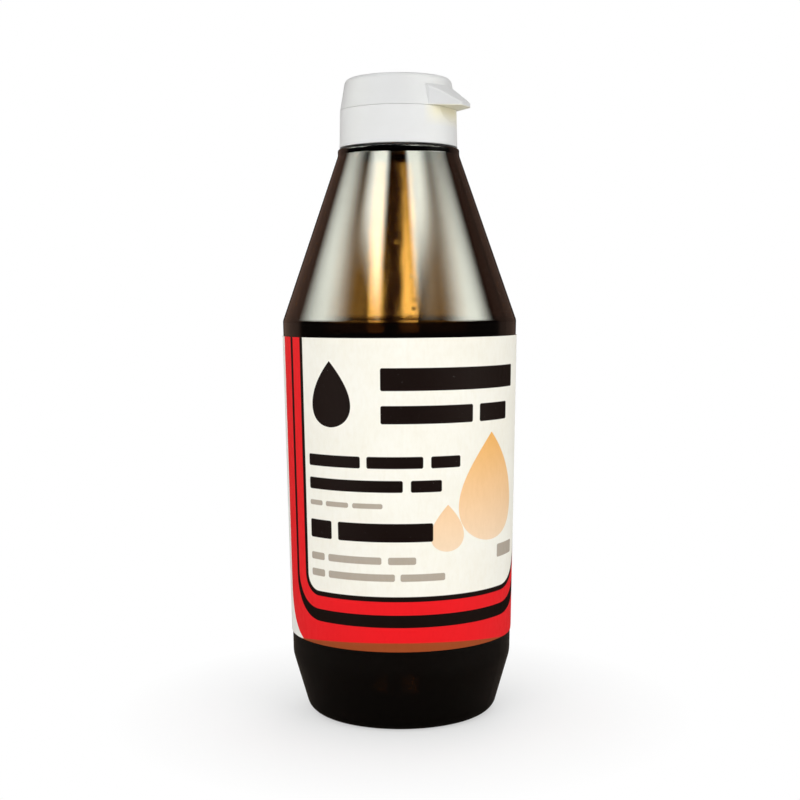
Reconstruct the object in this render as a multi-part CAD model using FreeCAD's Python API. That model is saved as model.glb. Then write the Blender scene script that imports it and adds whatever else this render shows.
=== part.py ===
import FreeCAD
import Part
import math
import os

# An amber 100 ml plastic bottle with a wrap-round paper label and a flip-top screw cap.
# Millimetres, +Z up, origin on the table at the centre of the base.
# The lid's thumb tab points along +X, and the film hinge runs along Y at the back, on -X.

# Bottle body, from the table up
heel_bottom_radius = 17.4    # where the heel's cone would meet the table
heel_height = 11.0           # table to the break between heel and body
body_bottom_radius = 20.6    # at the heel break
body_height = 62.7           # heel break to shoulder break
body_top_radius = 21.9       # at the shoulder break
shoulder_height = 30.5       # shoulder break to the upright band under the cap
neck_band_height = 1.25      # upright band, from the shoulder's cone up to the ledge
body_wall = 0.9
base_wall = 1.2
stand_ring_width = 4.0       # flat ring that the bottle stands on, before its edges are rounded
push_up_height = 2.5         # hollow under the base
push_up_radius = 6.0         # flat middle of that hollow
base_corner = 3.0
heel_blend = 6.0
shoulder_blend = 1.6
shoulder_flush = 0.35        # how far the upright band stands out past the cap
ledge_round = 0.4
small_round = 0.4

# Neck and its thread
neck_radius = 8.6
neck_wall = 1.6
neck_height = 7.75           # ledge to lip
thread_pitch = 3.175
thread_height = 1.1
thread_root_width = 2.0
thread_crest_width = 0.8
thread_sink = 0.3            # how far a thread's foot reaches into the wall it grows from
thread_end_gap = 0.6         # free wall beyond both ends of each thread
thread_start_angle = 40.0    # where the bottle's thread begins, degrees from +X
thread_ramp = 3.0            # length over which a thread's ends rise from the wall

# Sealing washer
seal_thickness = 0.8
seal_hole_radius = 3.5

# Cap base
skirt_wall = 1.1
skirt_draft = 0.15           # radius lost from the skirt's lower edge to the seam
skirt_edge_round = 0.15
seam_drop = 0.7              # how far the seam lies below the bottle's lip
collar_wall_below_seam = 0.9
collar_draft = 0.6           # radius lost from the seam to the deck
deck_thickness = 1.0
deck_round = 0.5
spout_height = 1.2
spout_radius = 3.2
spout_taper = 0.8
orifice_radius = 1.5
cap_thread_height = 0.85
cap_thread_root_width = 1.5
cap_thread_crest_width = 0.6
scoop_depth = 0.5            # thumb scoop under the tab, at the seam
scoop_radius = 6.0

# Flip lid
lid_wall = 0.8
lid_roof = 1.1
lid_draft = 1.0              # radius lost from the seam to the top
lid_corner = 1.2
lid_headroom = 1.1           # above the spout
plug_depth = 0.5             # how far the plug reaches into the orifice
plug_taper = 0.15
seal_ring_gap = 0.4          # round the foot of the spout
seal_ring_wall = 0.7
seal_ring_lap = 0.6          # how far the ring hangs below the top of the spout
tab_half_width = 5.7         # where it leaves the lid
tab_nose_half_width = 2.2
tab_nose_round = 1.6
tab_reach = 3.15             # beyond the lid's wall
tab_height = 3.9             # at the lid's wall
tab_nose_height = 0.6
tab_round = 0.5

# Film hinge
hinge_flat_depth = 0.5       # flat cut into lid and skirt behind the hinge
hinge_land = 1.5             # height of the flat above and below the seam
hinge_width = 4.6
hinge_thickness = 0.3
hinge_groove = 0.12          # depth of the bending groove at the seam

# Label
label_bottom_above_heel = 4.4
label_top_below_shoulder = 2.8
label_thickness = 0.12
label_lap_length = 6.0       # where the two ends overlap
label_ramp_length = 2.0      # where the outer end climbs onto the inner end
label_seam_angle = 133.0     # direction of the lap, degrees from +X

# Clearances
thread_clearance = 0.2       # radial, bottle thread crest to cap wall
thread_play = 0.15           # axial, between the loaded flanks
neck_clearance = 0.2
skirt_gap = 0.25             # cap's lower edge above the ledge
seal_clearance = 0.1
seam_gap = 0.05              # lid above the skirt
lid_clearance = 0.2
plug_clearance = 0.2
label_glue = 0.04            # glue film under the label
lap_glue = 0.03              # glue film in the lap

# Limits of the construction
tiny = 1e-6                  # shorter lengths count as nothing
fillet_room = 0.49           # share of a side that the rounding of one corner may take

# Heights that follow
shoulder_z = heel_height + body_height
band_z = shoulder_z + shoulder_height
ledge_z = band_z + neck_band_height
lip_z = ledge_z + neck_height
skirt_z = ledge_z + skirt_gap
seam_z = lip_z - seam_drop
step_z = seam_z - collar_wall_below_seam
deck_bottom_z = lip_z + seal_thickness
deck_z = deck_bottom_z + deck_thickness
spout_z = deck_z + spout_height
lid_z = seam_z + seam_gap
ceiling_z = spout_z + lid_headroom
top_z = ceiling_z + lid_roof
neck_thread_first_z = ledge_z + thread_end_gap + thread_root_width / 2
neck_thread_last_z = step_z - thread_end_gap - thread_root_width / 2
label_bottom_z = heel_height + label_bottom_above_heel
label_top_z = shoulder_z - label_top_below_shoulder

# Radii that follow
neck_crest_radius = neck_radius + thread_height
cap_root_radius = neck_crest_radius + thread_clearance
cap_crest_radius = cap_root_radius - cap_thread_height
skirt_radius = cap_root_radius + skirt_wall
seam_radius = skirt_radius - skirt_draft
shoulder_top_radius = skirt_radius + shoulder_flush
collar_inner_radius = neck_radius + neck_clearance
lid_inner_radius = seam_radius - lid_wall
collar_radius = lid_inner_radius - lid_clearance
hinge_flat_x = -(seam_radius - hinge_flat_depth)
lid_slope = lid_draft / (top_z - lid_z)


def vector(x, y, z):
    return FreeCAD.Vector(x, y, z)


def rounded_wire(corners):
    """Closed wire through (point, radius) corners, each rounded by a tangent arc."""
    starts, arcs = [], []
    count = len(corners)
    for i, (point, radius) in enumerate(corners):
        back = corners[i - 1][0] - point
        ahead = corners[(i + 1) % count][0] - point
        half = back.getAngle(ahead) / 2
        room = fillet_room * min(back.Length, ahead.Length)
        tangent = min(radius / math.tan(half), room)
        fillet = tangent * math.tan(half)
        if fillet < tiny:
            starts.append((point, point))
            arcs.append(None)
            continue
        back.normalize()
        ahead.normalize()
        middle = (back + ahead).normalize() * (fillet / math.sin(half) - fillet)
        first, last = point + back * tangent, point + ahead * tangent
        starts.append((first, last))
        arcs.append(Part.Arc(first, point + middle, last).toShape())
    edges = []
    for i in range(count):
        if arcs[i]:
            edges.append(arcs[i])
        leave, arrive = starts[i][1], starts[(i + 1) % count][0]
        if leave.distanceToPoint(arrive) > tiny:
            edges.append(Part.LineSegment(leave, arrive).toShape())
    return Part.Wire(edges)


def turned(profile):
    """Solid of revolution about Z from (radius, height, rounding) corners."""
    wire = rounded_wire([(vector(r, 0, z), rounding) for r, z, rounding in profile])
    return Part.Face(wire).revolve(vector(0, 0, 0), vector(0, 0, 1), 360)


def inset_path(path, walls):
    """Corners of a path moved inwards (to its left) by one wall thickness per stretch."""
    lines = []
    for (r0, z0, _), (r1, z1, _), wall in zip(path, path[1:], walls):
        length = math.hypot(r1 - r0, z1 - z0)
        dr, dz = (r1 - r0) / length, (z1 - z0) / length
        lines.append((r0 - dz * wall, z0 + dr * wall, dr, dz, wall))
    inner = [(0.0, lines[0][1], 0.0)]
    for (r0, z0, dr0, dz0, wall0), (r1, z1, dr1, dz1, wall1), corner in zip(lines, lines[1:], path[1:]):
        turn = dr0 * dz1 - dz0 * dr1
        along = ((r1 - r0) * dz1 - (z1 - z0) * dr1) / turn
        wall = min(wall0, wall1)
        rounding = corner[2] - wall if turn > 0 else corner[2] + wall
        inner.append((r0 + along * dr0, z0 + along * dz0, max(rounding, small_round)))
    inner.append((lines[-1][0], path[-1][1], small_round))
    return inner


def thread_ridge(foot, crest, foot_width, crest_width, first_z, last_z, start_angle):
    """Right-hand ridge of trapezoid section, from first_z to last_z at its middle."""
    flank = (foot_width - crest_width) / abs(foot - crest)
    sunk_foot = foot + math.copysign(thread_sink, foot - crest)
    sunk_width = foot_width + flank * thread_sink
    (inner, inner_width), (outer, outer_width) = sorted([(sunk_foot, sunk_width), (crest, crest_width)])
    outline = [
        vector(inner, 0, -inner_width / 2),
        vector(outer, 0, -outer_width / 2),
        vector(outer, 0, outer_width / 2),
        vector(inner, 0, inner_width / 2),
    ]
    section = Part.makePolygon(outline + outline[:1])
    path = Part.makeHelix(thread_pitch, last_z - first_z, (foot + crest) / 2)
    ridge = Part.Wire(path.Edges).makePipeShell([section], True, True)
    ridge = ridge.cut(ramp_block(foot, crest, foot_width, 1))
    far_end = ramp_block(foot, crest, foot_width, -1)
    far_end.rotate(vector(0, 0, 0), vector(0, 0, 1), 360 * (last_z - first_z) / thread_pitch)
    far_end.translate(vector(0, 0, last_z - first_z))
    ridge = ridge.cut(far_end)
    ridge.translate(vector(0, 0, first_z))
    ridge.rotate(vector(0, 0, 0), vector(0, 0, 1), start_angle)
    return ridge


def ramp_block(foot, crest, width, way):
    """Upright block that slants off a ridge's end, from its foot to a ramp's length along its crest."""
    turn = thread_ramp / crest
    overrun = 1.3
    start = vector(foot, 0, -width)
    ramp_end = vector(crest * math.cos(turn), way * crest * math.sin(turn), -width)
    past = crest + (crest - foot) / 2
    corners = [
        start,
        start + (ramp_end - start) * overrun,
        vector(past, -way * thread_sink, -width),
        vector(foot, -way * thread_sink, -width),
    ]
    return Part.Face(Part.makePolygon(corners + corners[:1])).extrude(vector(0, 0, 2 * width))


def body_radius(z):
    """Outside radius of the bottle's tapered body at a height."""
    share = (z - heel_height) / body_height
    return body_bottom_radius + share * (body_top_radius - body_bottom_radius)


def make_bottle():
    stand_inner_radius = heel_bottom_radius - stand_ring_width
    lower = [
        (0.0, push_up_height, 0.0),
        (push_up_radius, push_up_height, base_corner),
        (stand_inner_radius, 0.0, small_round),
        (heel_bottom_radius, 0.0, base_corner),
        (body_bottom_radius, heel_height, heel_blend),
        (body_top_radius, shoulder_z, shoulder_blend),
    ]
    band = [(shoulder_top_radius, band_z, small_round), (shoulder_top_radius, ledge_z, ledge_round)]
    upper = [(neck_radius, ledge_z, small_round), (neck_radius, lip_z, small_round)]
    # Inside, the shoulder's cone runs on up to the ledge.
    cone_slope = (body_top_radius - shoulder_top_radius) / shoulder_height
    cone_end = (shoulder_top_radius - cone_slope * neck_band_height, ledge_z, ledge_round)
    walls = [base_wall] * 3 + [body_wall] * 3 + [base_wall, neck_wall]
    inside = inset_path(lower + [cone_end] + upper, walls)
    shell = turned(lower + band + upper + inside[::-1])
    cavity = turned(inside + [(0.0, lip_z, 0.0)])
    print("brimful capacity, ml:", round(cavity.Volume / 1000, 1))
    thread = thread_ridge(
        neck_radius, neck_crest_radius, thread_root_width, thread_crest_width,
        neck_thread_first_z, neck_thread_last_z, thread_start_angle,
    )
    return shell.fuse(thread).removeSplitter()


def label_section(z):
    """Outline of the wrapped sheet at a height: round the body, then up onto its own start."""
    inner = body_radius(z) + label_glue
    outer = inner + label_thickness
    lap_inner = outer + lap_glue
    lap_outer = lap_inner + label_thickness
    ramp = math.degrees(label_ramp_length / inner)
    lap = math.degrees(label_lap_length / inner)

    def at(radius, angle):
        turn = math.radians(label_seam_angle + angle)
        return vector(radius * math.cos(turn), radius * math.sin(turn), z)

    def arc(radius, first, last):
        return Part.Arc(at(radius, first), at(radius, (first + last) / 2), at(radius, last)).toShape()

    def line(start, end):
        return Part.LineSegment(start, end).toShape()

    foot = 360 - ramp
    thirds = [0, foot / 3, 2 * foot / 3, foot]
    edges = [arc(inner, first, last) for first, last in zip(thirds, thirds[1:])]
    edges.append(line(at(inner, foot), at(lap_inner, 360)))
    edges.append(arc(lap_inner, 360, 360 + lap))
    edges.append(line(at(lap_inner, 360 + lap), at(lap_outer, 360 + lap)))
    edges.append(arc(lap_outer, 360 + lap, 360))
    edges.append(line(at(lap_outer, 360), at(outer, foot)))
    back = thirds[::-1]
    edges += [arc(outer, first, last) for first, last in zip(back, back[1:])]
    edges.append(line(at(outer, 0), at(inner, 0)))
    return Part.Wire(edges)


def make_wrap_label():
    return Part.makeLoft([label_section(label_bottom_z), label_section(label_top_z)], True, True)


def make_neck_seal():
    edge = collar_inner_radius - seal_clearance
    disc = Part.makeCylinder(edge, seal_thickness, vector(0, 0, lip_z))
    hole = Part.makeCylinder(seal_hole_radius, seal_thickness, vector(0, 0, lip_z))
    return disc.cut(hole)


def hinge_flat(sign):
    """Block that cuts the flat behind the hinge, above (+1) or below (-1) the seam."""
    depth = seam_radius
    low_z = seam_z if sign > 0 else seam_z - hinge_land
    high_z = lid_z + hinge_land if sign > 0 else seam_z
    return Part.makeBox(depth, 2 * depth, high_z - low_z, vector(hinge_flat_x - depth, -depth, low_z))


def make_cap_base():
    profile = [
        (skirt_radius, skirt_z, skirt_edge_round),
        (seam_radius, seam_z, 0.0),
        (collar_radius, seam_z, 0.0),
        (collar_radius - collar_draft, deck_z, deck_round),
        (spout_radius, deck_z, 0.0),
        (spout_radius - spout_taper, spout_z, 0.0),
        (orifice_radius, spout_z, 0.0),
        (orifice_radius, deck_bottom_z, 0.0),
        (collar_inner_radius, deck_bottom_z, 0.0),
        (collar_inner_radius, step_z, 0.0),
        (cap_root_radius, step_z, 0.0),
        (cap_root_radius, skirt_z, 0.0),
    ]
    base = turned(profile)
    scoop_axis = vector(seam_radius - scoop_depth + scoop_radius, -seam_radius, seam_z)
    base = base.cut(Part.makeCylinder(scoop_radius, 2 * seam_radius, scoop_axis, vector(0, 1, 0)))
    base = base.cut(hinge_flat(-1))

    # The cap's thread runs in the groove just below the bottle's, with its upper flank loaded.
    reach = (neck_crest_radius - cap_crest_radius) / 2
    neck_width = thread_crest_width + (thread_root_width - thread_crest_width) * reach / thread_height
    cap_width = cap_thread_crest_width
    cap_width += (cap_thread_root_width - cap_thread_crest_width) * reach / cap_thread_height
    below = (neck_width + cap_width) / 2 + thread_play
    lowest_z = skirt_z + thread_end_gap + cap_thread_root_width / 2
    first_z = neck_thread_first_z - below
    start_turn = max(0.0, (lowest_z - first_z) / thread_pitch)
    thread = thread_ridge(
        cap_root_radius, cap_crest_radius, cap_thread_root_width, cap_thread_crest_width,
        first_z + start_turn * thread_pitch, step_z - thread_end_gap - cap_thread_root_width / 2,
        thread_start_angle + 360 * start_turn,
    )
    return base.fuse(thread).removeSplitter()


def thumb_tab():
    """Beak at the lid's lower edge: pointed in plan, sloping down from the lid's wall to its nose."""
    root_x = math.sqrt(lid_inner_radius ** 2 - tab_half_width ** 2)
    foot_x = math.sqrt(seam_radius ** 2 - tab_half_width ** 2)
    tip_x = seam_radius + tab_reach
    crown_radius = seam_radius - lid_slope * tab_height
    plan = rounded_wire([
        (vector(root_x, -tab_half_width, lid_z), 0),
        (vector(foot_x, -tab_half_width, lid_z), 0),
        (vector(tip_x, -tab_nose_half_width, lid_z), tab_nose_round),
        (vector(tip_x, tab_nose_half_width, lid_z), tab_nose_round),
        (vector(foot_x, tab_half_width, lid_z), 0),
        (vector(root_x, tab_half_width, lid_z), 0),
    ])
    nose_radius = math.hypot(tip_x, tab_nose_half_width)
    wedge = turned([
        (lid_inner_radius, lid_z, 0),
        (nose_radius, lid_z, 0),
        (nose_radius, lid_z + tab_nose_height, 0),
        (crown_radius, lid_z + tab_height, 0),
        (lid_inner_radius, lid_z + tab_height, 0),
    ])
    beak = Part.Face(plan).extrude(vector(0, 0, tab_height)).common(wedge)
    slope = next(face for face in beak.Faces if isinstance(face.Surface, Part.Cone))
    crown_z = lid_z + tab_height
    rim = [edge for edge in slope.Edges
           if edge.CenterOfMass.x > foot_x and edge.BoundBox.ZMax < crown_z - tab_nose_height / 2]
    return beak.makeFillet(min(tab_round, tab_nose_height / 2), rim)


def make_flip_lid():
    top_radius = seam_radius - lid_draft
    ceiling_radius = lid_inner_radius - lid_slope * (ceiling_z - lid_z)
    ring_inner = spout_radius + seal_ring_gap
    ring_outer = ring_inner + seal_ring_wall
    ring_z = spout_z - seal_ring_lap
    plug_radius = orifice_radius - plug_clearance
    plug_z = spout_z - plug_depth
    profile = [
        (0.0, top_z, 0.0),
        (top_radius, top_z, lid_corner),
        (seam_radius, lid_z, 0.0),
        (lid_inner_radius, lid_z, 0.0),
        (ceiling_radius, ceiling_z, lid_corner - lid_wall),
        (ring_outer, ceiling_z, 0.0),
        (ring_outer, ring_z, 0.0),
        (ring_inner, ring_z, 0.0),
        (ring_inner, ceiling_z, 0.0),
        (plug_radius, ceiling_z, 0.0),
        (plug_radius, spout_z, 0.0),
        (plug_radius - plug_taper, plug_z, 0.0),
        (0.0, plug_z, 0.0),
    ]
    lid = turned(profile)
    room = turned([
        (0.0, lid_z, 0.0),
        (lid_inner_radius, lid_z, 0.0),
        (ceiling_radius, ceiling_z, lid_corner - lid_wall),
        (0.0, ceiling_z, 0.0),
    ])
    lid = lid.fuse(thumb_tab().cut(room)).removeSplitter()
    return lid.cut(hinge_flat(1))


def make_film_hinge():
    low_z = seam_z - hinge_land
    high_z = lid_z + hinge_land
    middle_z = (seam_z + lid_z) / 2
    half_groove = 2 * hinge_groove
    outer_x = hinge_flat_x - hinge_thickness
    side = -hinge_width / 2
    corners = [vector(hinge_flat_x, side, middle_z + half_groove), vector(hinge_flat_x, side, high_z),
               vector(outer_x, side, high_z), vector(outer_x, side, low_z),
               vector(hinge_flat_x, side, low_z), vector(hinge_flat_x, side, middle_z - half_groove)]
    edges = [Part.LineSegment(a, b).toShape() for a, b in zip(corners, corners[1:])]
    groove = vector(hinge_flat_x - hinge_groove, side, middle_z)
    edges.append(Part.Arc(corners[-1], groove, corners[0]).toShape())
    return Part.Face(Part.Wire(edges)).extrude(vector(0, hinge_width, 0))


pieces = {
    "bottle": make_bottle,
    "wrap_label": make_wrap_label,
    "neck_seal": make_neck_seal,
    "cap_base": make_cap_base,
    "flip_lid": make_flip_lid,
    "film_hinge": make_film_hinge,
}

os.makedirs("parts", exist_ok=True)
for name, make in pieces.items():
    shape = make()
    solid = shape.Solids[0]
    print(name, "solids", len(shape.Solids), "valid", shape.isValid(), "volume", round(solid.Volume, 2))
    solid.exportStep(os.path.join("parts", name + ".step"))
print("overall height", round(top_z, 3), "seam", round(seam_z, 3), "cap lower edge", round(skirt_z, 3))
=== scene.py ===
import math
import bpy
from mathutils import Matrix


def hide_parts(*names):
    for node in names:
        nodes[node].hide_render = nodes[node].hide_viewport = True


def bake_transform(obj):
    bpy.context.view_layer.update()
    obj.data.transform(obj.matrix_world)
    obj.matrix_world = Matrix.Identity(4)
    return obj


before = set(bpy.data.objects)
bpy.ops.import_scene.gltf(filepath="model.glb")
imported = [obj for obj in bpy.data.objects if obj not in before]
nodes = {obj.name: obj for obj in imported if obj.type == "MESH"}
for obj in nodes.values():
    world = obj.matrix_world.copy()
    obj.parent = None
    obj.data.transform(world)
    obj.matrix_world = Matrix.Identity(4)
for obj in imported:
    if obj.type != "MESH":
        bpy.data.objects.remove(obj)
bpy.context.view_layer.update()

scene = bpy.context.scene
scene.view_settings.view_transform = "Standard"
print("frame loaded:", ", ".join(sorted(nodes)))


# small helpers for the node trees
def feed(tree, value, socket):
    if isinstance(value, bpy.types.NodeSocket):
        tree.links.new(value, socket)
    else:
        socket.default_value = value


def calc(tree, operation, first, second=0.0):
    node = tree.nodes.new("ShaderNodeMath")
    node.operation = operation
    feed(tree, first, node.inputs[0])
    feed(tree, second, node.inputs[1])
    return node.outputs[0]


def rise(tree, value, low, high, bottom=0.0, top=1.0):  # clamped straight ramp
    node = tree.nodes.new("ShaderNodeMapRange")
    for index, number in enumerate((value, low, high, bottom, top)):
        feed(tree, number, node.inputs[index])
    return node.outputs[0]


def mixColour(tree, amount, first, second, blendType="MIX"):
    node = tree.nodes.new("ShaderNodeMix")
    node.data_type = "RGBA"
    node.blend_type = blendType
    for index, value in ((0, amount), (6, first), (7, second)):
        if isinstance(value, tuple) and len(value) == 3:
            value = (*value, 1.0)
        feed(tree, value, node.inputs[index])
    return node.outputs[2]


def objectPlace(tree, turn=0.0):
    coords = tree.nodes.new("ShaderNodeTexCoord")
    mapping = tree.nodes.new("ShaderNodeMapping")
    mapping.inputs["Rotation"].default_value = (0.0, 0.0, turn)
    tree.links.new(coords.outputs["Object"], mapping.inputs["Vector"])
    return mapping.outputs["Vector"]


def stretched(tree, place, scale):
    mapping = tree.nodes.new("ShaderNodeMapping")
    mapping.inputs["Scale"].default_value = scale
    tree.links.new(place, mapping.inputs["Vector"])
    return mapping.outputs["Vector"]


def split(tree, place):  # x, y and z on their own
    node = tree.nodes.new("ShaderNodeSeparateXYZ")
    tree.links.new(place, node.inputs[0])
    return node.outputs


def grain(tree, place, scale, detail=2.0, roughness=0.5):
    node = tree.nodes.new("ShaderNodeTexNoise")
    node.inputs["Scale"].default_value = scale
    node.inputs["Detail"].default_value = detail
    node.inputs["Roughness"].default_value = roughness
    tree.links.new(place, node.inputs["Vector"])
    return node.outputs[0]


def specks(tree, place, scale, size, share):  # round dots in a share of the cells
    node = tree.nodes.new("ShaderNodeTexVoronoi")
    node.inputs["Scale"].default_value = scale
    tree.links.new(place, node.inputs["Vector"])
    chance = tree.nodes.new("ShaderNodeSeparateColor")
    tree.links.new(node.outputs["Color"], chance.inputs[0])
    near = rise(tree, node.outputs["Distance"], size, size * 0.5)
    return calc(tree, "MULTIPLY", near, calc(tree, "GREATER_THAN", chance.outputs[0], 1.0 - share))


def bump(tree, height, distance, strength=1.0, under=None):
    node = tree.nodes.new("ShaderNodeBump")
    node.inputs["Strength"].default_value = strength
    node.inputs["Distance"].default_value = distance
    tree.links.new(height, node.inputs["Height"])
    if under is not None:
        tree.links.new(under, node.inputs["Normal"])
    return node.outputs["Normal"]


def newFinish(name):
    material = bpy.data.materials.new(name)
    material.use_nodes = True
    tree = material.node_tree
    tree.nodes.clear()
    output = tree.nodes.new("ShaderNodeOutputMaterial")
    shader = tree.nodes.new("ShaderNodeBsdfPrincipled")
    tree.links.new(shader.outputs["BSDF"], output.inputs["Surface"])
    return material, tree, shader


def outputOf(tree):
    return next(node for node in tree.nodes if node.type == "OUTPUT_MATERIAL")


def wear(node, material):
    for slot in nodes[node].material_slots:
        slot.material = material


# the amber bottle: clear tinted plastic with a slight ripple from blowing
amberBottle = {
    "amber": (0.47, 0.315, 0.14),
    "depth": 4000.0,
    "clear": (0.97, 0.96, 0.94),
    "cloudy": (0.93, 0.91, 0.88),
    "cloudScale": 55.0,
    # painted shade: the wall colour below the shoulder
    "bodyPaintedShade": (0.15, 0.11, 0.08),
    "shoulderStart": (0.0747, 0.0733),
    "ior": 1.57,
    "smoothest": 0.03,
    "scuffed": 0.09,
    "scuffScale": 520.0,
    "scuffStretch": (1.0, 1.0, 0.06),
    "ripple": 0.00008,
    "rippleScale": 75.0,
    "rippleStretch": (1.0, 1.0, 0.3),
    "dust": 0.00003,
    "dustScale": 260.0,
    "dustSize": 0.11,
    "dustShare": 0.2,
}
material, tree, shader = newFinish("amberPlastic")
place = objectPlace(tree)
cloud = grain(tree, place, amberBottle["cloudScale"], 3.0)
shader.inputs["IOR"].default_value = amberBottle["ior"]
shader.inputs["Transmission Weight"].default_value = 1.0
tint = mixColour(tree, rise(tree, cloud, 0.35, 0.65), amberBottle["clear"], amberBottle["cloudy"])
paintedShadeBelow = rise(tree, split(tree, place)[2], *amberBottle["shoulderStart"])  # painted shade: the wall is tinted darker below the shoulder, where the body lies in shade
feed(tree, mixColour(tree, paintedShadeBelow, tint, amberBottle["bodyPaintedShade"]), shader.inputs["Base Color"])
scuff = grain(tree, stretched(tree, place, amberBottle["scuffStretch"]), amberBottle["scuffScale"], 6.0, 0.65)
feed(tree, rise(tree, scuff, 0.42, 0.72, amberBottle["smoothest"], amberBottle["scuffed"]),
     shader.inputs["Roughness"])
ripple = grain(tree, stretched(tree, place, amberBottle["rippleStretch"]), amberBottle["rippleScale"], 1.0)
dust = specks(tree, place, amberBottle["dustScale"], amberBottle["dustSize"], amberBottle["dustShare"])
normal = bump(tree, ripple, amberBottle["ripple"], 0.5)
feed(tree, bump(tree, dust, amberBottle["dust"], 0.6, normal), shader.inputs["Normal"])
inWall = tree.nodes.new("ShaderNodeVolumeAbsorption")
inWall.inputs["Color"].default_value = (*amberBottle["amber"], 1.0)
inWall.inputs["Density"].default_value = amberBottle["depth"]
tree.links.new(inWall.outputs[0], outputOf(tree).inputs["Volume"])
wear("bottle", material)
print("bottle: amber plastic")


# the wrap-round label: sizes in mm, u round the bottle from the print's middle, v up from the lower edge
label = {
    "middleAngle": -47.0,
    "radius": 21.4,
    "lowerEdge": 15.4,
    # frame boxes from the inside out: left, right, bottom, left corner, right corner, ink beyond
    "frame": ((25.3, 25.6, 9.9, 3.0, 9.0, "black"), (26.2, 26.5, 9.0, 3.9, 9.9, "red"),
              (28.8, 28.9, 6.6, 6.3, 12.3, "black"), (29.7, 30.8, 4.35, 7.8, 14.2, "red"),
              (33.6, 34.0, -0.8, 10.0, 15.0, "paper")),
    "footMiddle": -5.6,
    "footHalfWidth": 23.5,
    "footDepth": 1.6,
    "footSoft": 0.12,
    "inkSoft": 0.04,
    "barCorner": 0.35,
    "paper": (0.90, 0.89, 0.85),
    "cream": (0.96, 0.94, 0.85),
    "red": (0.86, 0.008, 0.013),
    "black": (0.009, 0.003, 0.002),
    "grey": (0.46, 0.40, 0.33),
    "brown": (0.34, 0.065, 0.014),
    "orange": (0.95, 0.50, 0.14),
    "orangeFade": (17.0, 38.0, 0.45, 1.0),  # from v, to v, first share, last share
    # middle u, middle v, length, height
    "blackBars": ((5.5, 48.3, 29.0, 4.0), (-0.5, 42.1, 17.0, 3.2), (13.6, 42.1, 8.0, 3.2),
                  (-18.4, 33.7, 11.2, 2.1), (-6.6, 33.7, 10.0, 2.1), (2.6, 33.7, 5.6, 2.1),
                  (-14.6, 29.5, 18.8, 2.1), (-1.0, 29.5, 5.6, 2.1),
                  (-21.4, 21.3, 5.2, 3.3), (-8.6, 21.3, 17.6, 3.3)),
    "greyBars": ((-22.4, 26.0, 3.2, 0.9), (-17.6, 26.0, 4.8, 0.9), (-11.6, 26.0, 5.6, 0.9),
                 (-22.3, 16.3, 3.4, 1.3), (-14.4, 16.3, 10.6, 1.3), (-5.4, 16.3, 5.0, 1.3),
                 (-22.3, 13.3, 3.4, 1.3), (-13.2, 13.3, 13.0, 1.3), (-1.6, 13.3, 8.2, 1.3),
                 (18.4, 16.5, 6.6, 2.4)),
    # middle u, lowest v, width, height
    "blackDrops": ((-18.6, 39.7, 8.4, 11.8),),
    "orangeDrops": ((12.8, 18.9, 15.4, 19.6), (3.0, 17.7, 6.6, 8.4)),
    # rows of short grey strokes at the back: middle u, half width, lowest v, highest v
    "strokeBlocks": ((-49.0, 10.5, 11.5, 46.0), (49.0, 10.5, 20.7, 39.1)),
    "rowPitch": 2.3,
    "rowShare": 0.36,
    "rowLengths": (1.2, 2.6),
    "strokeScale": (0.55, 7.3),
    "strokeCut": (0.36, 0.40),
    "wornInk": (0.68, 0.80, 1.0, 0.85),
    "wornScale": 1400.0,
    "fibreTint": (0.94, 0.92, 0.88),
    "fibreScale": 1500.0,
    "fibreStretch": (1.0, 1.0, 0.4),
    "fibreBump": 0.00002,
    "mottleTint": (0.95, 0.93, 0.88),
    "mottleScale": 120.0,
    "mottleBump": 0.00012,
    "smooth": 0.46,
    "dull": 0.60,
    "ior": 1.45,
    "gloss": 0.12,
}


def roundedBar():
    group = bpy.data.node_groups.new("roundedBar", "ShaderNodeTree")
    names = ("u", "v", "middleU", "middleV", "halfLength", "halfHeight")
    for name in names:
        group.interface.new_socket(name=name, in_out="INPUT", socket_type="NodeSocketFloat")
    group.interface.new_socket(name="ink", in_out="OUTPUT", socket_type="NodeSocketFloat")
    given = group.nodes.new("NodeGroupInput").outputs
    sides = []
    for place, middle, half in (("u", "middleU", "halfLength"), ("v", "middleV", "halfHeight")):
        away = calc(group, "ABSOLUTE", calc(group, "SUBTRACT", given[place], given[middle]))
        past = calc(group, "SUBTRACT", away, calc(group, "SUBTRACT", given[half], label["barCorner"]))
        sides.append(calc(group, "POWER", calc(group, "MAXIMUM", past, 0.0), 2.0))
    reach = calc(group, "SQRT", calc(group, "ADD", sides[0], sides[1]))
    ink = rise(group, reach, label["barCorner"] + label["inkSoft"], label["barCorner"] - label["inkSoft"])
    group.links.new(ink, group.nodes.new("NodeGroupOutput").inputs["ink"])
    return group


barGroup = roundedBar()


def bars(tree, u, v, rows):
    total = None
    for middleU, middleV, length, height in rows:
        node = tree.nodes.new("ShaderNodeGroup")
        node.node_tree = barGroup
        values = (u, v, middleU, middleV, length / 2, height / 2)
        for index, value in enumerate(values):
            feed(tree, value, node.inputs[index])
        total = node.outputs[0] if total is None else calc(tree, "MAXIMUM", total, node.outputs[0])
    return total


def drops(tree, u, v, rows):  # half width follows sqrt(t) * (1 - t), round below and pointed above
    fullest = 2.0 / math.sqrt(27.0)  # greatest value of that curve
    total = None
    for middleU, lowest, width, height in rows:
        t = rise(tree, v, lowest, lowest + height)
        half = calc(tree, "MULTIPLY", calc(tree, "SQRT", t), calc(tree, "SUBTRACT", 1.0, t))
        half = calc(tree, "MULTIPLY", half, width / 2 / fullest)
        away = calc(tree, "ABSOLUTE", calc(tree, "SUBTRACT", u, middleU))
        ink = rise(tree, calc(tree, "SUBTRACT", half, away), 0.0, 2 * label["inkSoft"])
        total = ink if total is None else calc(tree, "MAXIMUM", total, ink)
    return total


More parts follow.
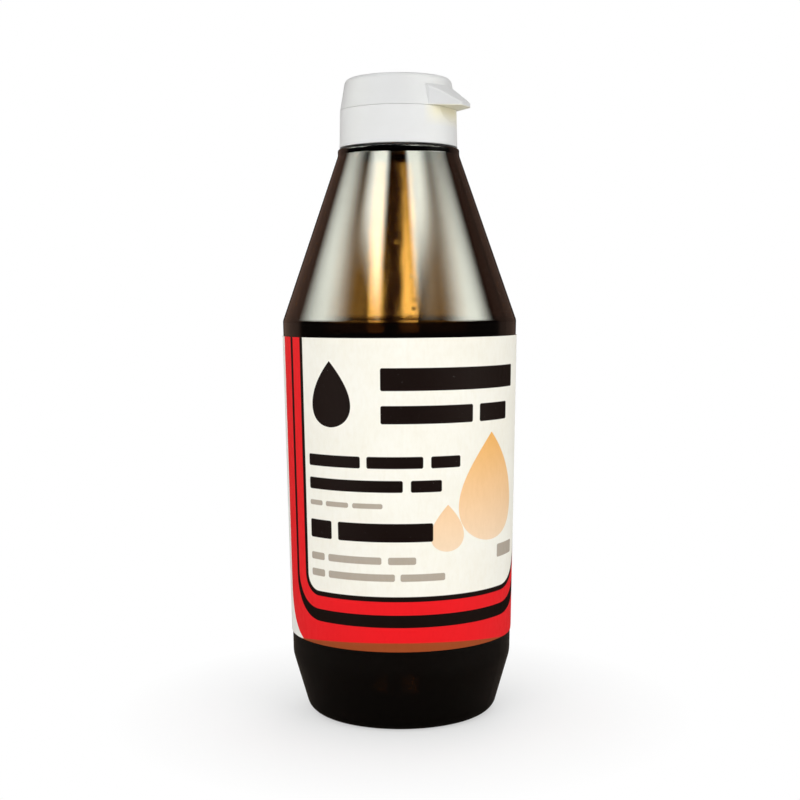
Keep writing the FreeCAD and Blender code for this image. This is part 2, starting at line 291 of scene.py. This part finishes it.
def strokeRows(tree, u, v, block):  # ragged rows, broken into strokes by a noise of their own
    middle, half, lowest, highest = block
    shortest, longest = label["rowLengths"]
    alongScale, rowStep = label["strokeScale"]
    rows = calc(tree, "DIVIDE", v, label["rowPitch"])
    across = calc(tree, "ABSOLUTE", calc(tree, "SUBTRACT", calc(tree, "FRACT", rows), 0.5))
    edge, soft = label["rowShare"] / 2, label["inkSoft"] / 2
    ink = rise(tree, across, edge + soft, edge - soft)
    chance = tree.nodes.new("ShaderNodeTexWhiteNoise")
    chance.noise_dimensions = "1D"
    tree.links.new(calc(tree, "FLOOR", rows), chance.inputs["W"])
    ends = rise(tree, chance.outputs["Value"], 0.0, 1.0, half * shortest, half * longest)
    fromLeft = calc(tree, "SUBTRACT", u, middle - half)
    shape = tree.nodes.new("ShaderNodeCombineXYZ")
    feed(tree, calc(tree, "MULTIPLY", u, alongScale), shape.inputs[0])
    feed(tree, calc(tree, "MULTIPLY", calc(tree, "FLOOR", rows), rowStep), shape.inputs[1])
    strokes = grain(tree, shape.outputs[0], 1.0, 0.0)
    limits = (rise(tree, strokes, *label["strokeCut"]), rise(tree, fromLeft, 0.0, 0.1),
              calc(tree, "LESS_THAN", fromLeft, calc(tree, "MINIMUM", ends, half * 2.0)),
              calc(tree, "GREATER_THAN", v, lowest), calc(tree, "LESS_THAN", v, highest))
    for limit in limits:
        ink = calc(tree, "MULTIPLY", ink, limit)
    return ink


def pastBox(tree, u, v, box):  # distance outside a box with round lower corners and no top
    left, right, bottom, cornerLeft, cornerRight = box
    change = (-0.01, 0.01)  # where the left sizes give way to the right ones
    corner = rise(tree, u, *change, cornerLeft, cornerRight)
    side = rise(tree, u, *change, left - cornerLeft, right - cornerRight)
    pastSide = calc(tree, "MAXIMUM", calc(tree, "SUBTRACT", calc(tree, "ABSOLUTE", u), side), 0.0)
    pastFoot = calc(tree, "MAXIMUM", calc(tree, "SUBTRACT", calc(tree, "ADD", corner, bottom), v), 0.0)
    away = calc(tree, "ADD", calc(tree, "POWER", pastSide, 2.0), calc(tree, "POWER", pastFoot, 2.0))
    return calc(tree, "SUBTRACT", calc(tree, "SQRT", away), corner)


material, tree, shader = newFinish("labelPaper")
place = objectPlace(tree, -math.radians(label["middleAngle"]))
x, y, z = split(tree, place)
u = calc(tree, "MULTIPLY", calc(tree, "ARCTAN2", y, x), label["radius"])
v = calc(tree, "SUBTRACT", calc(tree, "MULTIPLY", z, 1000.0), label["lowerEdge"])
colour = label["cream"]
for *box, ink in label["frame"]:
    beyond = rise(tree, pastBox(tree, u, v, box), -label["inkSoft"], label["inkSoft"])
    colour = mixColour(tree, beyond, colour, label[ink])
# brown foot band, deepest in its middle
fromMiddle = calc(tree, "DIVIDE", calc(tree, "SUBTRACT", u, label["footMiddle"]), label["footHalfWidth"])
footTop = calc(tree, "SUBTRACT", 1.0, calc(tree, "MULTIPLY", fromMiddle, fromMiddle))
footTop = calc(tree, "MULTIPLY", footTop, label["footDepth"])
foot = rise(tree, calc(tree, "SUBTRACT", footTop, v), -label["footSoft"], label["footSoft"])
colour = mixColour(tree, foot, colour, label["brown"])
fade = rise(tree, v, *label["orangeFade"])
colour = mixColour(tree, calc(tree, "MULTIPLY", drops(tree, u, v, label["orangeDrops"]), fade),
                   colour, label["orange"])
greyInk = bars(tree, u, v, label["greyBars"])
for block in label["strokeBlocks"]:
    greyInk = calc(tree, "MAXIMUM", greyInk, strokeRows(tree, u, v, block))
colour = mixColour(tree, greyInk, colour, label["grey"])
blackInk = calc(tree, "MAXIMUM", bars(tree, u, v, label["blackBars"]),
                drops(tree, u, v, label["blackDrops"]))
worn = rise(tree, grain(tree, place, label["wornScale"], 4.0, 0.7), *label["wornInk"])
blackInk = calc(tree, "MULTIPLY", blackInk, worn)
colour = mixColour(tree, blackInk, colour, label["black"])
# paper fibre and a faint mottle
fibre = grain(tree, stretched(tree, place, label["fibreStretch"]), label["fibreScale"], 4.0, 0.6)
mottle = grain(tree, place, label["mottleScale"], 3.0)
colour = mixColour(tree, rise(tree, fibre, 0.4, 0.75, 0.0, 0.5), colour, label["fibreTint"], "MULTIPLY")
colour = mixColour(tree, rise(tree, mottle, 0.4, 0.7, 0.0, 0.4), colour, label["mottleTint"], "MULTIPLY")
feed(tree, colour, shader.inputs["Base Color"])
feed(tree, rise(tree, fibre, 0.3, 0.7, label["smooth"], label["dull"]), shader.inputs["Roughness"])
shader.inputs["IOR"].default_value = label["ior"]
shader.inputs["Specular IOR Level"].default_value = label["gloss"]
normal = bump(tree, mottle, label["mottleBump"], 0.5)
feed(tree, bump(tree, fibre, label["fibreBump"], 0.5, normal), shader.inputs["Normal"])
wear("wrap_label", material)
print("label: printed paper")


# white cap plastic: satin moulded polypropylene
capPlastic = {
    "white": (0.75, 0.755, 0.755),
    "shade": (0.72, 0.72, 0.715),
    "cloudScale": 140.0,
    # painted shade: a greyer copy of the same plastic for the lid
    "lidPaintedShade": (0.90, 0.90, 0.905),
    "seam": (0.1124, 0.1126),
    # painted warm bounce light in the shaded scoop under the thumb tab
    "scoopPaintedBounce": (0.85, 0.80, 0.60),
    # painted warm bounce light in the scoop fades in outwards and upwards, and ends at the seam
    "scoopOut": (0.0086, 0.0100),
    "scoopUp": (0.1088, 0.1118),
    "scoopEnd": (0.11275, 0.1125),
    "smooth": 0.44,
    "dull": 0.60,
    "ior": 1.49,
    "gloss": 0.35,
    "flow": 0.00006,
    "flowScale": 260.0,
    "flowStretch": (1.0, 1.0, 0.25),
    "fineGrain": 0.000015,
    "fineScale": 3200.0,
}
material, tree, shader = newFinish("whitePlastic")
place = objectPlace(tree)
x, _, z = split(tree, place)
cloud = grain(tree, place, capPlastic["cloudScale"], 3.0)
fine = grain(tree, place, capPlastic["fineScale"], 3.0, 0.6)
flow = grain(tree, stretched(tree, place, capPlastic["flowStretch"]), capPlastic["flowScale"], 2.0)
colour = mixColour(tree, rise(tree, cloud, 0.35, 0.75), capPlastic["white"], capPlastic["shade"])
# painted shade: the lid a little greyer than the skirt; painted warm bounce light in the scoop under its
# thumb tab
colour = mixColour(tree, rise(tree, z, *capPlastic["seam"]), colour, capPlastic["lidPaintedShade"], "MULTIPLY")
below = calc(tree, "MULTIPLY", rise(tree, z, *capPlastic["scoopUp"]), rise(tree, z, *capPlastic["scoopEnd"]))
paintedBounce = calc(tree, "MULTIPLY", rise(tree, x, *capPlastic["scoopOut"]), below)
paintedBounce = calc(tree, "MULTIPLY", paintedBounce, rise(tree, cloud, 0.2, 0.6, 0.6, 1.0))
feed(tree, mixColour(tree, paintedBounce, colour, capPlastic["scoopPaintedBounce"]), shader.inputs["Base Color"])
feed(tree, rise(tree, fine, 0.3, 0.7, capPlastic["smooth"], capPlastic["dull"]), shader.inputs["Roughness"])
shader.inputs["IOR"].default_value = capPlastic["ior"]
shader.inputs["Specular IOR Level"].default_value = capPlastic["gloss"]
normal = bump(tree, flow, capPlastic["flow"], 0.4)
feed(tree, bump(tree, fine, capPlastic["fineGrain"], 0.5, normal), shader.inputs["Normal"])
for node in ("cap_base", "flip_lid"):
    wear(node, material)
print("cap and lid: white plastic")


# soft washer under the cap
washerFoam = {
    "light": (0.86, 0.86, 0.82),
    "cell": (0.68, 0.67, 0.62),
    "cellScale": 3600.0,
    "cellBump": 0.00006,
    "smooth": 0.75,
    "dull": 0.92,
    "dullScale": 800.0,
}
material, tree, shader = newFinish("washerFoam")
place = objectPlace(tree)
cells = tree.nodes.new("ShaderNodeTexVoronoi")
cells.inputs["Scale"].default_value = washerFoam["cellScale"]
tree.links.new(place, cells.inputs["Vector"])
colour = mixColour(tree, rise(tree, cells.outputs["Distance"], 0.1, 0.7),
                   washerFoam["cell"], washerFoam["light"])
feed(tree, colour, shader.inputs["Base Color"])
dull = grain(tree, place, washerFoam["dullScale"])
feed(tree, rise(tree, dull, 0.3, 0.7, washerFoam["smooth"], washerFoam["dull"]), shader.inputs["Roughness"])
feed(tree, bump(tree, cells.outputs["Distance"], washerFoam["cellBump"], 0.7), shader.inputs["Normal"])
wear("neck_seal", material)
print("washer: foam")


# film hinge: a thin flat strap with a groove on its inner side, between cap and lid
filmHinge = {
    "flatX": -0.01035,
    "thickness": 0.0003,
    "width": 0.0046,
    "lowZ": 0.1110,
    "highZ": 0.11405,
    "seamZ": 0.112525,
    "grooveDepth": 0.00012,
    "grooveHalf": 0.00024,
    "slices": 59,
    "edgeRound": 0.00003,
    "white": (0.75, 0.755, 0.755),
    "stressed": (0.86, 0.86, 0.855),
    "smooth": 0.32,
    "dull": 0.50,
    "ior": 1.49,
    "fineGrain": 0.00002,
    "fineScale": 2600.0,
}
middleX = filmHinge["flatX"] - filmHinge["thickness"] / 2
middleZ = (filmHinge["lowZ"] + filmHinge["highZ"]) / 2
bpy.ops.object.select_all(action="DESELECT")
bpy.ops.mesh.primitive_cube_add(size=1.0, location=(middleX, 0.0, middleZ))
strap = bpy.context.active_object
strap.name = strap.data.name = "film_hinge_strap"
strap.scale = (filmHinge["thickness"], filmHinge["width"], filmHinge["highZ"] - filmHinge["lowZ"])
bpy.ops.object.transform_apply(location=True, rotation=True, scale=True)


def pick(mesh, wanted, kind="EDGE"):
    bpy.ops.mesh.select_mode(type=kind)
    bpy.ops.mesh.select_all(action="DESELECT")
    bpy.ops.object.mode_set(mode="OBJECT")
    for item in mesh.edges if kind == "EDGE" else mesh.vertices:
        item.select = wanted(item)
    bpy.ops.object.mode_set(mode="EDIT")


def endsOf(edge):
    return [strap.data.vertices[index].co for index in edge.vertices]


def upright(edge):
    first, second = endsOf(edge)
    return abs(first.z - second.z) > 1e-6


def innerGroove(vertex):
    return vertex.co.x > middleX and abs(vertex.co.z - filmHinge["seamZ"]) < 1e-5


def outerCorner(edge):
    return upright(edge) and all(end.x < middleX for end in endsOf(edge))


bpy.ops.object.mode_set(mode="EDIT")
pick(strap.data, upright)
bpy.ops.mesh.subdivide(number_cuts=filmHinge["slices"])
pick(strap.data, innerGroove, "VERT")
bpy.ops.transform.translate(value=(-filmHinge["grooveDepth"], 0.0, 0.0), use_proportional_edit=True,
                            proportional_edit_falloff="LINEAR", proportional_size=filmHinge["grooveHalf"])
pick(strap.data, outerCorner)
bpy.ops.mesh.bevel(offset=filmHinge["edgeRound"], segments=2, affect="EDGES")
bpy.ops.mesh.select_all(action="SELECT")
bpy.ops.mesh.normals_make_consistent(inside=False)
bpy.ops.object.mode_set(mode="OBJECT")
bpy.ops.object.shade_smooth_by_angle(angle=math.radians(35.0))

material, tree, shader = newFinish("hingePlastic")
place = objectPlace(tree)
fromSeam = calc(tree, "ABSOLUTE", calc(tree, "SUBTRACT", split(tree, place)[2], filmHinge["seamZ"]))
fold = rise(tree, fromSeam, filmHinge["grooveHalf"] * 2, 0.0)  # paler where the plastic is stressed
fine = grain(tree, place, filmHinge["fineScale"], 3.0, 0.6)
feed(tree, mixColour(tree, calc(tree, "MULTIPLY", fold, rise(tree, fine, 0.3, 0.6, 0.5, 1.0)),
                     filmHinge["white"], filmHinge["stressed"]), shader.inputs["Base Color"])
feed(tree, rise(tree, fine, 0.3, 0.7, filmHinge["smooth"], filmHinge["dull"]), shader.inputs["Roughness"])
feed(tree, bump(tree, fine, filmHinge["fineGrain"], 0.5), shader.inputs["Normal"])
shader.inputs["IOR"].default_value = filmHinge["ior"]
strap.data.materials.append(material)
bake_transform(strap)
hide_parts("film_hinge")


# studio: pale floor, white surround that the gloss mirrors dark, soft lamps
studio = {
    "cameraTurn": 28.0,
    "cameraDistance": 0.2643,
    "cameraHeight": 0.0775,
    "cameraDip": 4.09,
    "cameraRoll": 0.35,
    "lens": 63.0,
    "sensor": 36.0,
    "clipStart": 0.01,
    "ambient": 0.60,
    "mirroredDark": 0.02,
    "floorSize": 6.0,
    "floorColour": (0.86, 0.86, 0.855),
    "floorFleck": (0.82, 0.82, 0.815),
    "fleckScale": 30.0,
    "floorMirrored": (0.068, 0.053, 0.044),
    "floorDull": 0.8,
    "floorGloss": 0.1,
    "shadeReach": (0.016, 0.055, 0.5, 1.0),  # from, to, white near the bottle, white further out
    "aim": (0.0, 0.0, 0.085),
}
turn = math.radians(studio["cameraTurn"])
toCamera = (math.sin(turn), -math.cos(turn))
toRight = (math.cos(turn), math.sin(turn))

cameraData = bpy.data.cameras.new("camera")
cameraData.lens = studio["lens"]
cameraData.sensor_width = studio["sensor"]
cameraData.clip_start = studio["clipStart"]
camera = bpy.data.objects.new("camera", cameraData)
camera.location = (studio["cameraDistance"] * toCamera[0], studio["cameraDistance"] * toCamera[1],
                   studio["cameraHeight"])
camera.rotation_euler = (math.radians(90.0 - studio["cameraDip"]), 0.0, turn)
camera.rotation_euler.rotate_axis("Z", math.radians(-studio["cameraRoll"]))
scene.collection.objects.link(camera)
scene.camera = camera

world = bpy.data.worlds.new("surround")
scene.world = world
world.use_nodes = True
tree = world.node_tree
tree.nodes.clear()
output = tree.nodes.new("ShaderNodeOutputWorld")
background = tree.nodes.new("ShaderNodeBackground")
tree.links.new(background.outputs[0], output.inputs["Surface"])


def raysFor(tree):  # white for camera and see-through rays, and which rays are mirrored ones
    path = tree.nodes.new("ShaderNodeLightPath")
    through = path.outputs["Is Transmission Ray"]
    white = calc(tree, "MAXIMUM", path.outputs["Is Camera Ray"], through)
    mirrored = calc(tree, "MAXIMUM", calc(tree, "SUBTRACT", path.outputs["Is Glossy Ray"], white), 0.0)
    return white, mirrored


white, mirrored = raysFor(tree)
strength = calc(tree, "MULTIPLY", rise(tree, white, 0.0, 1.0, studio["ambient"], 1.0),
                rise(tree, mirrored, 0.0, 1.0, 1.0, studio["mirroredDark"]))
background.inputs["Color"].default_value = (1.0, 1.0, 1.0, 1.0)
feed(tree, strength, background.inputs["Strength"])

bpy.ops.object.select_all(action="DESELECT")
bpy.ops.mesh.primitive_plane_add(size=studio["floorSize"], location=(0.0, 0.0, 0.0))
floor = bpy.context.active_object
floor.name = "floor"
material, tree, shader = newFinish("paleFloor")
place = objectPlace(tree)
shader.inputs["Roughness"].default_value = studio["floorDull"]
shader.inputs["Specular IOR Level"].default_value = studio["floorGloss"]
white, mirrored = raysFor(tree)
fleck = rise(tree, grain(tree, place, studio["fleckScale"], 4.0), 0.3, 0.7, 0.0, 0.3)
pale = mixColour(tree, fleck, studio["floorColour"], studio["floorFleck"])
feed(tree, mixColour(tree, mirrored, pale, studio["floorMirrored"]), shader.inputs["Base Color"])
glow = tree.nodes.new("ShaderNodeEmission")
blendNode = tree.nodes.new("ShaderNodeMixShader")
distance = tree.nodes.new("ShaderNodeVectorMath")
distance.operation = "LENGTH"
tree.links.new(place, distance.inputs[0])
clear = rise(tree, distance.outputs["Value"], *studio["shadeReach"])
feed(tree, calc(tree, "MULTIPLY", clear, white), blendNode.inputs[0])
tree.links.new(shader.outputs[0], blendNode.inputs[1])
tree.links.new(glow.outputs[0], blendNode.inputs[2])
tree.links.new(blendNode.outputs[0], outputOf(tree).inputs["Surface"])
floor.data.materials.append(material)


def pointAt(aside, height, away):  # aside in degrees from the camera's side, to the right in the picture
    angle = turn - math.pi / 2 + math.radians(aside)
    up = math.radians(height)
    aim = studio["aim"]
    return (aim[0] + away * math.cos(up) * math.cos(angle), aim[1] + away * math.cos(up) * math.sin(angle),
            aim[2] + away * math.sin(up))


def lamp(name, spot, size, level, rays, colour=(1.0, 1.0, 1.0), soft=None):
    data = bpy.data.lights.new(name, "AREA")
    data.shape = "RECTANGLE"
    data.color = colour
    data.size, data.size_y = size
    if soft:  # the panel fades towards its left side, right side and ends
        data.use_nodes = True
        tree = data.node_tree
        spread = tree.nodes.new("ShaderNodeNewGeometry")
        across, along, _ = split(tree, spread.outputs["Parametric"])
        left, right, ends = soft
        rims = ((across, 0.0, left), (across, 1.0, 1.0 - right), (along, 0.0, ends), (along, 1.0, 1.0 - ends))
        strength = 1.0
        for place, rim, inner in rims:
            ramp = rise(tree, place, rim, inner)
            ramp.node.interpolation_type = "SMOOTHSTEP"
            strength = calc(tree, "MULTIPLY", strength, ramp)
        glow = next(node for node in tree.nodes if node.type == "EMISSION")
        feed(tree, strength, glow.inputs["Strength"])
    data.energy = level * math.pi * size[0] * size[1]  # level is the panel's brightness, 1 is white
    item = bpy.data.objects.new(name, data)
    item.location = spot
    aim = studio["aim"]
    back = [spot[i] - aim[i] for i in range(3)]
    around = math.atan2(back[1], back[0]) + math.pi / 2
    item.rotation_euler = (math.acos(back[2] / math.sqrt(sum(b * b for b in back))), 0.0, around)
    item.visible_camera = False
    item.visible_diffuse = "diffuse" in rays
    item.visible_glossy = "glossy" in rays
    item.visible_transmission = "through" in rays
    scene.collection.objects.link(item)


# name, aside, height, distance, size, level
roomLamps = (
    ("key", -30.0, 24.0, 0.80, (0.50, 0.50), 2.5),
    ("fill", 48.0, 17.0, 0.80, (0.50, 0.50), 2.1),
    ("top", 10.0, 80.0, 0.80, (0.45, 0.45), 0.3),
    ("rear", 165.0, 30.0, 0.80, (0.50, 0.50), 1.8),
)
for name, aside, height, away, size, level in roomLamps:
    lamp(name, pointAt(aside, height, away), size, level, "diffuse")

# panels mirrored in the gloss, softness of the left side, right side and ends last
mirrorPanels = {
    "away": 0.45,
    "colour": (0.97, 1.0, 0.87),
    "rows": (("sideLeft", -86.5, 26.0, (0.60, 0.28), 10.9, (0.5, 0.5, 0.5)),
             ("sideRight", 77.0, 24.6, (0.53, 0.276), 13.5, (0.5, 0.5, 0.5)),
             ("dimRight", 54.0, 50.0, (0.50, 0.32), 3.4, (0.32, 0.32, 0.32)),
             ("stripLeft", -42.0, 42.4, (0.32, 0.13), 16.5, (0.5, 0.25, 0.31)),
             ("stripRight", 38.0, 43.5, (0.30, 0.13), 13.0, (0.2, 0.6, 0.31))),
}
# dim warm panels far round the sides, mirrored along the outline
rimPanels = {
    "away": 0.45,
    "colour": (1.0, 0.60, 0.44),
    "rows": (("rimLeft", -135.0, 15.0, (0.50, 0.50), 0.22, (0.2, 0.2, 0.2)),
             ("rimRight", 135.0, 15.0, (0.50, 0.50), 0.14, (0.2, 0.2, 0.2))),
}
# small panels low beside the bottle, mirrored in the shoulder when it is seen from above
lowPanels = {
    "away": 0.095,
    "colour": (1.0, 0.97, 0.90),
    "rows": (("lowLeft", -50.0, -26.0, (0.085, 0.040), 3.2, (0.5, 0.5, 0.5)),
             ("lowRight", 65.0, -26.0, (0.070, 0.040), 2.4, (0.5, 0.5, 0.5)),
             ("lowBack", 175.0, -26.0, (0.100, 0.040), 2.4, (0.5, 0.5, 0.5))),
}
for panels in (mirrorPanels, rimPanels, lowPanels):
    for name, aside, height, size, level, soft in panels["rows"]:
        lamp(name, pointAt(aside, height, panels["away"]), size, level, "glossy", panels["colour"], soft)

# narrow lit gaps and a faint glow behind the bottle, seen through the amber
backStrips = {
    "away": 0.25,
    "height": 0.074,
    "tall": 0.156,
    "colour": (0.6, 1.0, 0.7),
    # name, aside, width, level, softness of each side
    "rows": (("gapMiddle", 0.0045, 0.0085, 114.0, 0.25), ("gapLeft", -0.0108, 0.0085, 114.0, 0.25),
             ("glowLeft", -0.024, 0.028, 16.0, 0.3), ("glowRight", 0.0215, 0.028, 13.0, 0.3)),
}
for name, aside, width, level, soft in backStrips["rows"]:
    spot = (-toCamera[0] * backStrips["away"] + toRight[0] * aside,
            -toCamera[1] * backStrips["away"] + toRight[1] * aside, backStrips["height"])
    lamp(name, spot, (width, backStrips["tall"]), level, "through", backStrips["colour"], (soft, soft, 0.5))
print("studio: camera, lamps, floor")
